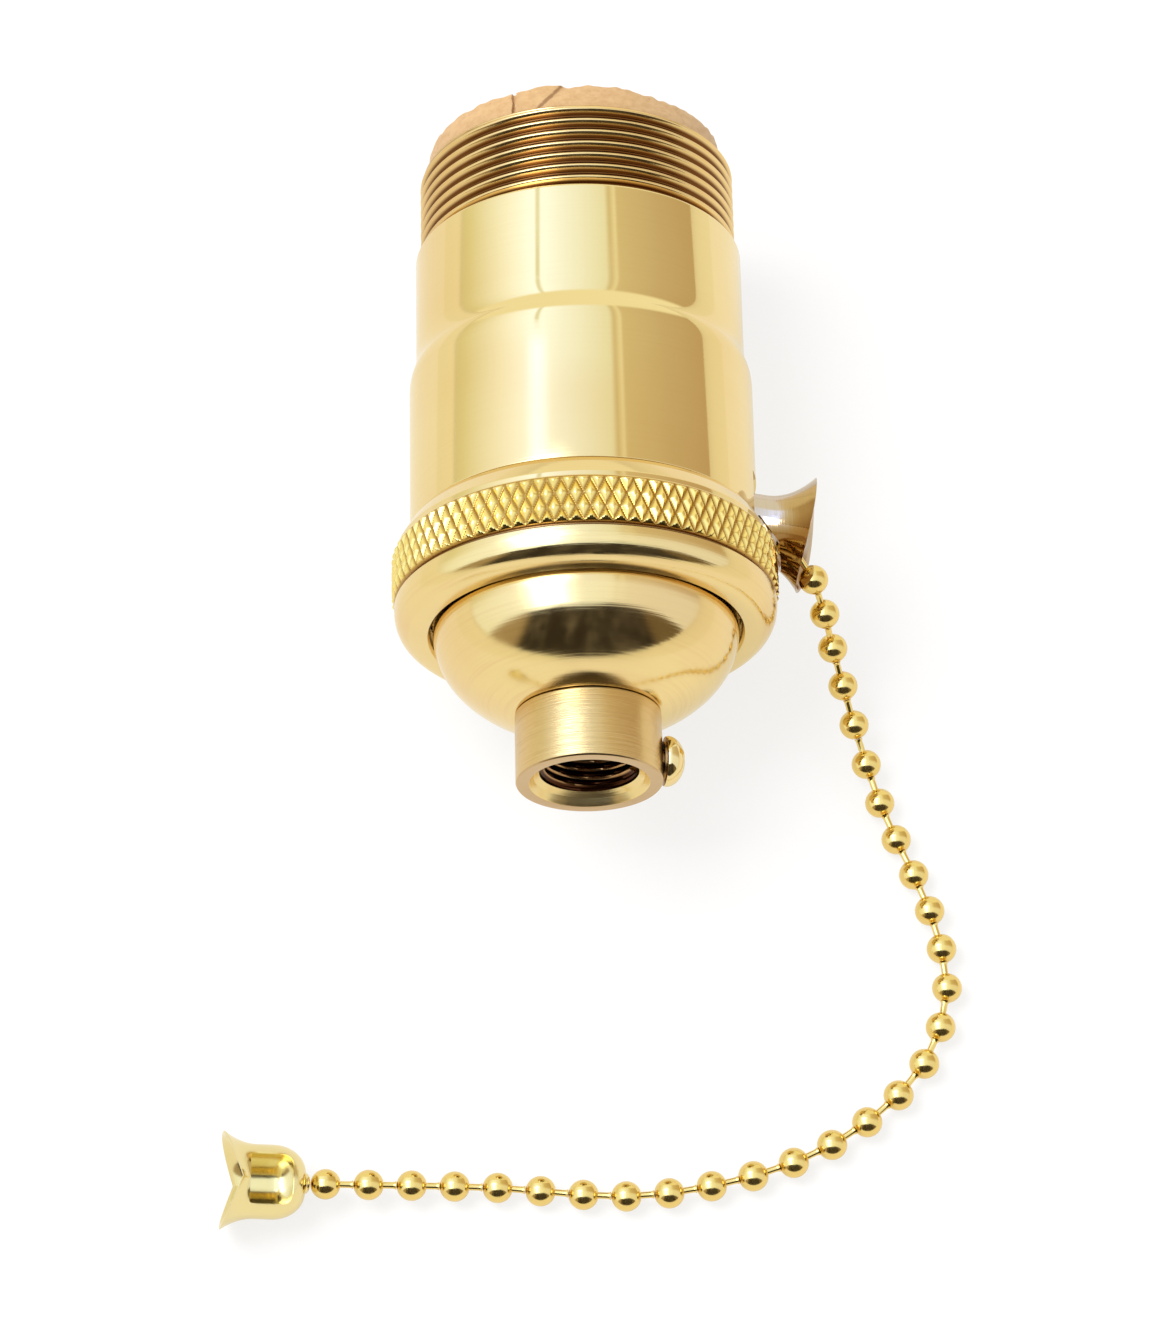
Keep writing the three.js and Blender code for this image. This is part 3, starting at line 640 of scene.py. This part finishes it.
def build_ring():
    """The clamp ring: a polished shoulder, a groove, two crossed families of cut knurl grooves and a
    turned lip."""
    diamonds, pitch, depth, run_out, flat = 84, 3.2, 0.42, 0.35, 0.72
    low, high, radius = 20.85, 25.85, 20.65
    # The shoulder is a quarter of an ellipse whose corner is a little squared.
    square, wide, deep = 0.78, 3.55, 3.3
    shoulder = [
        (16.85 + wide * math.cos(a) ** square, 20.2 - deep * math.sin(a) ** square)
        for a in spaced(math.pi / 2 - 0.001, 0, 28)
    ]

    def ridge(u):
        """Flat-topped ridges, one for every whole number."""
        return min(1 - abs(2 * (u % 1) - 1), flat) / flat

    def knurl(angle, r, y):
        if r < radius - 0.3 or not low - 0.15 < y < high + 0.15:
            return r, y
        round_by, along_by = diamonds * angle / TURN, (y - low) / pitch
        height = min(ridge(round_by + along_by), ridge(round_by - along_by))
        height = min(height, (y - low) / run_out + 0.15, (high - y) / run_out + 0.15)
        return min(r, radius - depth * (1 - max(height, 0))), y

    corners = [
        (16.6, 17.2, 0.1),
        *shoulder,
        (20.2, 20.36, 0.1),
        (19.9, 20.5, 0.05),
        (19.9, 20.64, 0.05),
        (radius - depth, low - 0.1),
        *[(radius, y) for y in spaced(low + 0.02, high - 0.02, 40)],
        (radius - depth, high + 0.1),
        (20.2, high + 0.2, 0.06),
        (20.15, high + 0.75, 0.4),
        (19.2, 28.2, 1.4),
        (18.75, 28.8, 0.12),
        (18.42, 28.8, 0.08),
        (18.42, 19.0, 0.1),
        (16.6, 19.0, 0.1),
    ]
    columns_each = 12
    shape = revolve(rounded(corners, 4), diamonds * columns_each, knurl)
    ring = mesh_object("clamp_ring_knurled", shape)
    dress(ring, SOCKET, "clamp_ring", "polished_brass", ["knurled_ring"], 40)
    # The knurl's finish darkens its grooves towards their roots as painted shade.
    paint(ring, "knurled_brass", lambda c: low - 0.13 < c.y < high + 0.13 and c.xz.length > 20)
    paint(ring, "lathe_brass", lambda c: c.y < 20.3)
    # Painted shade in the groove between the shoulder and the knurl.
    paint(ring, "shade_painted_brass", lambda c: 20.38 < c.y < low - 0.1 and c.xz.length > 19.5)
    paint(ring, "satin_brass", lambda c: c.y < 17.2)


def build_dome():
    """The domed cap: half an ellipsoid with a hole for the hub and a flange inside the clamp ring."""
    widest_at = 17.2

    def cap(radius, depth, edge, steps):
        start = math.acos(edge / radius)
        return [(radius * math.cos(a), widest_at - depth * math.sin(a)) for a in spaced(start, 0, steps)]

    corners = [
        (6.2, 7.86, 0.08),
        *cap(16.3, 10.8, 8.0, 40),
        (16.3, 19.3),
        (18.1, 19.3, 0.1),
        (18.1, 20.3, 0.1),
        (15.3, 20.3, 0.1),
        *cap(15.3, 9.3, 6.2, 30)[::-1],
    ]
    dome = mesh_object("dome_cap_spun", revolve(rounded(corners, 4), 192))
    dress(dome, SOCKET, "lampholder", "spun_brass", ["dome_cap"])


def build_hub():
    """The threaded hub: a counterbored end, a fine inside thread and a cross hole for the set screw."""
    pitch, major, minor = 0.94, 5.2, 4.66
    first, last = 1.5, 12.2

    def thread(angle, radius, y):
        if radius > major or not first < y < last:
            return radius, y
        u = (y - first) / pitch + angle / TURN
        fade = smoothstep(first, first + 0.5, y)
        return minor + (major - minor) * (1 - fade * wave(u)), y

    corners = [
        (6.35, 0, 0.12),
        (7.6, 0, 0.08),
        (7.75, 0.18, 0.12),
        (7.75, 7.7, 0.12),
        (5.95, 7.7, 0.1),
        (5.95, 12.4, 0.2),
        (5.0, 12.4, 0.1),
        *[(minor, y) for y in spaced(last - 0.05, first + 0.05, 120)],
        (5.25, 1.3, 0.1),
        (5.85, 0.8, 0.3),
    ]
    hub = mesh_object("threaded_hub_turned", revolve(rounded(corners), 144, thread))
    hole = revolve([(0, 3.5), (1.4, 3.5), (1.4, 9), (0, 9)], 32, closed=False)
    screw_height = (pivots["set_screw"].y - hub_end.y) / MM
    carve(hub, moved(hole, along(Vector((0, screw_height, 0)), axes["set_screw"])))
    dress(hub, SOCKET, "lampholder", "brushed_brass", ["threaded_hub"])
    paint(hub, "satin_brass", lambda c: 5.25 < c.xz.length < 6.34 and c.y < 1.25)
    paint(hub, "dull_brass", lambda c: c.xz.length > 6.36 and c.y < 0.15)
    # Painted shade: the thread inside the bore is darker, most of all in its roots.
    paint(hub, "hub_thread", lambda c: c.xz.length < 5.3 and 1.2 < c.y < 12.3)


def build_set_screw():
    """A slotted round-head screw with a collar painted dark as shade, y = 0 on the hub's axis and +Y
    outwards.
    """
    dome = [(2.7 * math.cos(a), 8.3 + 1.9 * math.sin(a)) for a in spaced(0, math.pi / 2, 16)]
    corners = [
        (0, 5.4),
        (0.9, 5.4),
        (1.2, 5.7),
        (1.2, 7.79),
        (2.1, 7.79),
        (2.15, 8.0),
        (2.6, 8.0, 0.12),
        *dome[:-1],
        (0, 10.2),
    ]
    screw = mesh_object("set_screw_round_head", revolve(rounded(corners), 64, closed=False))
    slot = block((-0.35, 9.25, -4), (0.35, 12, 4))
    carve(screw, slot)
    place = along(pivots["set_screw"], axes["set_screw"])
    dress(screw, place, "set_screw", "polished_brass", ["set_screw"])
    # Painted shade: the shank, the collar and the underside of the head are darkened.
    paint(screw, "shade_painted_brass", lambda c: c.dot(axes["set_screw"]) < 8.06)


# ---------------------------------------------------------------- sleeve and lamp thread


def build_sleeve():
    """A rolled fibre tube: an uneven torn rim, a slit, and the slanting edge of its outer wrap."""
    top, outer, inner = 75.4, 16.3, 15.6

    def wrap(angle, radius, y):
        bite = noise.noise(Vector((2.2 * math.cos(angle), 2.2 * math.sin(angle), 3.1)))
        fine = noise.noise(Vector((14 * math.cos(angle), 14 * math.sin(angle), 7.7)))
        rim = smoothstep(top - 3, top, y)
        edge = wrap_edge(y)
        inside_wrap = smoothstep(edge - 0.02, edge, angle) * (1 - smoothstep(3.6, 3.9, angle))
        swell = 0.05 * noise.noise(Vector((3 * math.cos(angle), 0.2 * y, 3 * math.sin(angle))))
        proud = (inside_wrap - 1) * 0.3 if radius > (outer + inner) / 2 else 0
        return radius + rim * (proud + swell), y + rim * (0.4 * bite + 0.3 * fine - 0.1)

    corners = [
        (inner, 24),
        (outer, 24),
        *[(outer, y) for y in spaced(71.4, top - 0.25, 16)],
        (outer - 0.05, top - 0.08),
        (outer - 0.2, top),
        (inner + 0.2, top),
        (inner + 0.05, top - 0.08),
        *[(inner, y) for y in spaced(top - 0.25, 71.4, 8)],
    ]
    sleeve = mesh_object("insulating_sleeve_rolled", revolve(corners, 360, wrap))
    slit_turn = Matrix.Rotation(math.radians(-24), 4, "Y")
    right_edge = [(0.16, 23), (0.16, 72.5), (0.3, 73.1), (0.14, 73.6), (0.42, 74.4), (0.3, 76)]
    left_edge = [(-0.12, 76), (-0.22, 74.5), (-0.1, 73.9), (-0.24, 73.2)]
    slit = prism([(-0.16, 23), *right_edge, *left_edge], 15.8, 18)
    funnel_slot = block((12, 22, -5.2), (18, 35.7, 5.2))
    carve(sleeve, funnel_slot, moved(slit, slit_turn))
    dress(sleeve, SOCKET, "lampholder", "fibre", ["insulating_sleeve"])


def build_lamp_shell():
    """The rolled screw shell for the lamp, with a floor held down by two screws."""
    pitch, depth, mean, half_wall = 3.63, 0.42, 12.95, 0.2

    def roll(angle, radius, y):
        if radius < 12.5:
            return radius, y
        fade = smoothstep(50.2, 52, y) * (1 - smoothstep(69.2, 70.6, y))
        return radius + depth * fade * math.cos(TURN * ((y - 51.4) / pitch + angle / TURN)), y

    corners = [
        (6.9, 49.4, 0.1),
        (mean + half_wall, 49.4, 0.5),
        *[(mean + half_wall, y) for y in spaced(50.2, 70.4, 70)],
        (13.55, 70.9, 0.1),
        (13.5, 71.05, 0.06),
        (13.1, 71.0, 0.06),
        *[(mean - half_wall, y) for y in spaced(70.4, 50.6, 70)],
        (mean - half_wall, 50.0, 0.4),
        (6.9, 50.0, 0.1),
    ]
    shell = mesh_object("lamp_screw_shell_rolled", revolve(rounded(corners), 120, roll))
    hole = revolve([(0, 48), (1.5, 48), (1.5, 52), (0, 52)], 24, closed=False)
    carve(shell, *[moved(hole, Matrix.Translation((0, 0, z))) for z in (9.7, -9.7)])
    dress(shell, SOCKET, "lampholder", "thread_brass", ["lamp_screw_shell"])


# ---------------------------------------------------------------- chain funnel

funnel_way = axes["chain_run"]
funnel_mouth = hub_end + Vector((23.81, 28.34, 0)) * MM
FUNNEL = along(funnel_mouth, funnel_way)


def build_funnel():
    """A nickel tube that flares to a saddle-shaped mouth. y = 0 is the mouth, and +Y leaves the
    lampholder. Its root is cut away where the clamp ring passes."""
    tube, mouth, wall, length, flare, bow = 3.55, 6.36, 0.55, 9.6, 5.2, 0.66

    def flared(thin, wide, count):
        return [(thin + (wide - thin) * t**2.3, -flare * (1 - t)) for t in spaced(0, 1, count)]

    outside = flared(tube, mouth, 26)
    inside = flared(tube - wall, mouth - 0.2, 26)[::-1]
    corners = [
        (tube - wall, -length, 0.1),
        (4.5, -length, 0.1),
        (4.5, 0.8 - length, 0.15),
        (tube, 0.8 - length, 0.2),
        *outside[:-1],
        (mouth, -0.05, 0.09),
        (mouth - 0.2, -0.05, 0.09),
        *inside[1:],
    ]

    def saddle(angle, radius, y):
        z = radius * math.sin(angle)
        return radius, y + smoothstep(-flare, 0, y) * bow * (z / mouth) ** 2

    funnel = mesh_object("chain_funnel_spun", revolve(rounded(corners), 128, saddle))
    ring_outline = [(17.4, 16.8), (20.95, 16.8), (20.95, 26.15), (19.1, 29.1), (17.4, 29.1)]
    to_funnel = FUNNEL.inverted() @ SOCKET
    to_funnel.translation /= MM
    carve(funnel, moved(revolve(ring_outline, 240), to_funnel))
    dress(funnel, FUNNEL, "lampholder", "nickel_plate", ["chain_funnel"])


# ---------------------------------------------------------------- ball chain and bell

BEAD_RADIUS, LIP_RADIUS, PITCH, PIN = 1.6, 0.56, 4.52, 0.35


def ball(centre, pin_ahead, pin_behind, steps=20):
    """Half the outline of a bead from +Y to -Y, with the rolled-in lip of each hole that a pin goes
    through."""
    lip = math.asin(LIP_RADIUS / BEAD_RADIUS)
    arc = spaced(lip if pin_ahead else 0, math.pi - lip if pin_behind else math.pi, steps)
    outline = [(BEAD_RADIUS * math.sin(a), centre + BEAD_RADIUS * math.cos(a)) for a in arc]
    sink = [(0.5, 1.47), (0.43, 1.42), (PIN, 1.42)]
    if pin_ahead:
        outline = [(r, centre + y) for r, y in sink[::-1]] + outline
    if pin_behind:
        outline = outline + [(r, centre - y) for r, y in sink]
    return outline


def build_beads():
    """Each bead with the pin that reaches back along -Y to the bead before it."""
    foot = BEAD_RADIUS + 0.02 - PITCH
    pin = [(PIN, foot + 0.35), (PIN + 0.03, foot + 0.16), (0.46, foot + 0.04), (0.44, foot), (0, foot)]
    outline = [(0, BEAD_RADIUS), *ball(0, False, True)[1:], *pin]
    shape = revolve(outline, 32, closed=False)
    for name, body, before, centre in zip(bead_names, bead_bodies, bead_centres, bead_centres[1:]):
        bead = mesh_object(f"{name}_ball", shape)
        dress(bead, along(centre, centre - before), body, "gold_plate", [name], 50)


def build_inner_chain():
    """The straight run of beads that slides in the funnel."""
    count = 6
    outline = []
    for i in range(count):
        outline += ball(-i * PITCH, i > 0, i < count - 1, 14)
    outline[0] = (0, BEAD_RADIUS)
    outline[-1] = (0, -(count - 1) * PITCH - BEAD_RADIUS)
    chain = mesh_object("inner_chain_run", revolve(outline, 28, closed=False))
    place = along(bead_centres[0], funnel_way)
    dress(chain, place, "chain_run", "gold_plate", ["inner_chain"], 50)


BELL_LIFT = math.radians(11)


def build_bell():
    """A pressed bell along +Y: collar, domed shoulder, one window, and a flare notched into two
    petals."""
    collar, radius, mouth, wall, notch = 1.2, 3.9, 5.15, 0.42, 1.75
    shoulder_from, full, flare_from, end = 2.2, 5.6, 7.4, 10.9

    def skin(inset, steps):
        rise = full - shoulder_from - inset
        shoulder = [
            (collar + (radius - collar) * math.sin(a) - inset, full - rise * math.cos(a))
            for a in spaced(0, math.pi / 2, steps)
        ]
        flare = [
            (radius + (mouth - radius) * t * t - inset, flare_from + (end - flare_from) * t)
            for t in spaced(0, 1, steps)
        ]
        return shoulder + flare

    outside, inside = skin(0, 22), skin(wall, 22)[::-1]
    neck = [(0, 1.75), (0.75, 1.75), (0.98, 1.9), (1.1, 2.06), (1.15, 2.16)]
    lip = [(mouth - 0.1, end + 0.06), (mouth - wall + 0.1, end + 0.06)]
    outline = [*neck, *outside, *lip, *inside, (0, shoulder_from + wall)]

    def notched(angle, r, y):
        outward = min(max((y - flare_from) / (end - flare_from), 0), 1)
        return r, y - notch * outward * (1 - abs(math.cos(angle)))

    window = rounded([(-2.6, 3.7, 1.1), (2.6, 3.7, 1.1), (2.6, 8.3, 0.35), (-2.6, 8.3, 0.35)], 6)
    bell = mesh_object("bell_end_pressed", revolve(outline, 128, notched, closed=False))
    carve(bell, prism(window, 0, 6))
    flat = bead_centres[BEADS] - bead_centres[BEADS - 1]
    flat.z = 0
    way = flat.normalized() * math.cos(BELL_LIFT) + Vector((0, 0, math.sin(BELL_LIFT)))
    dress(bell, along(bead_centres[BEADS], way), "bell", "pale_gold", ["bell_end"])


# ---------------------------------------------------------------- CAD nodes that stay

KEPT = {
    "brushed_brass": ["hub_locknut"],
    "phenolic": ["switch_base", "ratchet_wheel"],
    "porcelain": ["socket_seat"],
    "polished_brass": ["centre_contact", "hot_terminal", "terminal_screw_hot"],
    "copper": ["contact_rivet", "upper_contact_blade", "lower_contact_blade", "contact_cam"],
    "nickel_plate": ["neutral_strap", "terminal_screw_neutral"],
    "spring_steel": [
        "assembly_screw_upper",
        "assembly_screw_lower",
        "rotor_shaft",
        "pull_lever",
        "drive_pawl",
        "return_spring",
    ],
}


def paint_kept_nodes():
    for finish, names in KEPT.items():
        for name in names:
            mesh = frame["nodes"][name].data
            mesh.shade_smooth()
            mesh.set_sharp_from_angle(angle=math.radians(35))
            mesh.materials.clear()
            mesh.materials.append(FINISHES[finish])


# ---------------------------------------------------------------- bench, light and camera


def build_floor():
    """A pale bench, partly lit from within so that it stays nearly white with only soft shadows on it."""
    made, graph = material("bench")
    place = graph.place()
    grain = graph.noise(place, 900.0, 3.0)
    tint = graph.blend(grain, (0.93, 0.93, 0.93), (0.96, 0.96, 0.96))
    diffuse = graph.node("ShaderNodeBsdfDiffuse", {"Color": tint, "Roughness": 0.5})
    # In reflections the bench glows warm pale within 0.1 m of the middle and tan further out, a painted
    # reflection of the room beyond; to the camera it glows white.
    across = graph.math("ABSOLUTE", graph.split(place)["X"])
    seen = graph.blend(graph.span(across, 0.095, 0.105), (0.91, 0.87, 0.77), (0.84, 0.80, 0.60))
    mirrored = graph.node("ShaderNodeLightPath").outputs["Is Glossy Ray"]
    glow = graph.node("ShaderNodeEmission", {"Color": graph.blend(mirrored, (1, 1, 1), seen)})
    mixed = graph.node("ShaderNodeMixShader", {0: 0.72, 1: diffuse.outputs[0], 2: glow.outputs[0]})
    graph.node("ShaderNodeOutputMaterial", {"Surface": mixed.outputs[0]})
    half, gap = 4000, 0.1
    corners = [(-half, -half, 0), (half, -half, 0), (half, half, 0), (-half, half, 0)]
    floor = mesh_object("bench", (corners, [(0, 1, 2, 3)]))
    floor.data.materials.append(made)
    floor.location.z = cad_low.z - gap * MM


def build_world():
    """What the polished metal mirrors: a bright room overhead and behind, and a dark one on the viewer's
    side. x, y and z are the direction looked in, and around is its angle about the Y axis in degrees."""
    world = bpy.data.worlds.new("studio")
    world.use_nodes = True
    bpy.context.scene.world = world
    graph = Graph(world.node_tree)
    way = graph.node("ShaderNodeTexCoord").outputs["Generated"]
    x, y, z = graph.split(way)
    around = graph.math("MULTIPLY", graph.math("ARCTAN2", x, z), 180 / math.pi)
    reach = 120
    share = graph.math("DIVIDE", graph.math("ADD", around, reach), 2 * reach)
    ramp = graph.node("ShaderNodeValToRGB", {0: share})
    stops = [
        (-reach, (0.95, 0.96, 0.84)),
        (-99, (0.74, 0.73, 0.47)),
        (-82, (0.88, 0.88, 0.66)),
        (-54, (1.12, 1.23, 1.42)),
        (-33, (1.26, 1.48, 2.1)),
        (-24, (1.23, 1.46, 2.05)),
        (-12, (1.12, 1.30, 1.72)),
        (20, (0.95, 1.02, 0.98)),
        (23, (0.74, 0.66, 0.46)),
        (27, (0.96, 0.95, 0.78)),
        (29, (0.76, 0.68, 0.48)),
        (60, (0.66, 0.55, 0.38)),
        (90, (0.60, 0.47, 0.30)),
        (reach, (0.60, 0.47, 0.30)),
    ]
    elements = ramp.color_ramp.elements
    while len(elements) < len(stops):
        elements.new(0.5)
    for element, (degrees, colour) in zip(elements, stops):
        element.position = (degrees + reach) / (2 * reach)
        element.color = (*colour, 1)
    # The streak on the lower part of the shell, the lamp that lights the hub, and a window frame's bar.
    core = graph.math("MULTIPLY", graph.band(around, -38, -29, -28, -18), graph.span(y, 0.475, 0.455))
    bright = graph.blend(core, ramp.outputs[0], (1.35, 1.68, 2.9))
    strip = graph.math("POWER", graph.band(around, -62, -30, -24, 8), 3.0)
    strip = graph.math("MULTIPLY", strip, graph.span(y, 0.322, 0.308))
    bright = graph.blend(strip, bright, (7.0, 8.0, 9.6))
    bar = graph.math("MULTIPLY", graph.band(around, -31, -29, -28, -26), graph.span(y, 0.48, 0.49))
    bright = graph.blend(bar, bright, (0.90, 0.98, 0.95))
    bright = graph.blend(graph.span(y, 0.30, 0.0, 0.0, 0.6), bright, (1.15, 1.3, 1.5))
    bright = graph.blend(graph.span(y, 0.68, 0.76), bright, (1.02, 1.02, 0.86))
    # The dark side, streaked and with a brown edge on the left and on the right.
    toward = graph.math("MULTIPLY", graph.span(y, -0.46, -0.52), graph.span(z, 0.88, 0.80))
    streaks = graph.noise(graph.scaled(way, (9, 2, 1.5)), 1.0, 4.0, 0.7)
    shade = graph.blend(graph.span(streaks, 0.45, 0.8), (0.035, 0.028, 0.02), (0.20, 0.18, 0.15))
    shade = graph.blend(graph.span(x, -0.58, -0.68), shade, (0.42, 0.33, 0.20))
    shade = graph.blend(graph.span(x, 0.58, 0.68), shade, (0.18, 0.135, 0.07))
    seen = graph.blend(toward, bright, shade)
    paths = graph.node("ShaderNodeLightPath")
    glossy = paths.outputs["Is Glossy Ray"]
    plain = graph.blend(paths.outputs["Is Camera Ray"], (0.86, 0.85, 0.83), (0.97, 0.97, 0.97))
    colour = graph.blend(glossy, plain, seen)
    background = graph.node("ShaderNodeBackground", {"Color": colour, "Strength": 1.0})
    graph.node("ShaderNodeOutputWorld", {"Surface": background.outputs[0]})


def build_light():
    """One soft lamp from the upper left, for the shadows. The mirrored room gives the highlights."""
    lamp = bpy.data.lights.new("softbox", "AREA")
    lamp.shape, lamp.size, lamp.energy = "DISK", 0.5, 4.0
    softbox = bpy.data.objects.new("softbox", lamp)
    softbox.location = (-0.35, 0.1, 0.7)
    softbox.rotation_euler = (-softbox.location).to_track_quat("-Z", "Y").to_euler()
    softbox.visible_glossy = False
    bpy.context.scene.collection.objects.link(softbox)


def build_camera():
    """Looks down on the bench from in front of the hub, at the distance that gives the photo's
    perspective."""
    data = bpy.data.cameras.new("camera")
    data.lens, data.sensor_width = 119.85, 36
    camera = bpy.data.objects.new("camera", data)
    from_hub = Vector((-0.4197, -180.5266, 428.2947)) * MM
    right = Vector((0.99976, -0.01994, -0.00903))
    back = Vector((0.0, -0.41249, 0.91096))
    up = back.cross(right)
    turn = Matrix((right, up, back)).transposed().to_4x4()
    camera.matrix_world = Matrix.Translation(hub_end + from_hub) @ turn
    data.clip_start, data.clip_end = 0.01, 20
    bpy.context.scene.collection.objects.link(camera)
    bpy.context.scene.camera = camera


for build in (
    build_shell,
    build_ring,
    build_dome,
    build_hub,
    build_set_screw,
    build_sleeve,
    build_lamp_shell,
    build_funnel,
    build_beads,
    build_inner_chain,
    build_bell,
    paint_kept_nodes,
    build_floor,
    build_world,
    build_light,
    build_camera,
):
    build()

bpy.context.scene.view_settings.view_transform = "Standard"
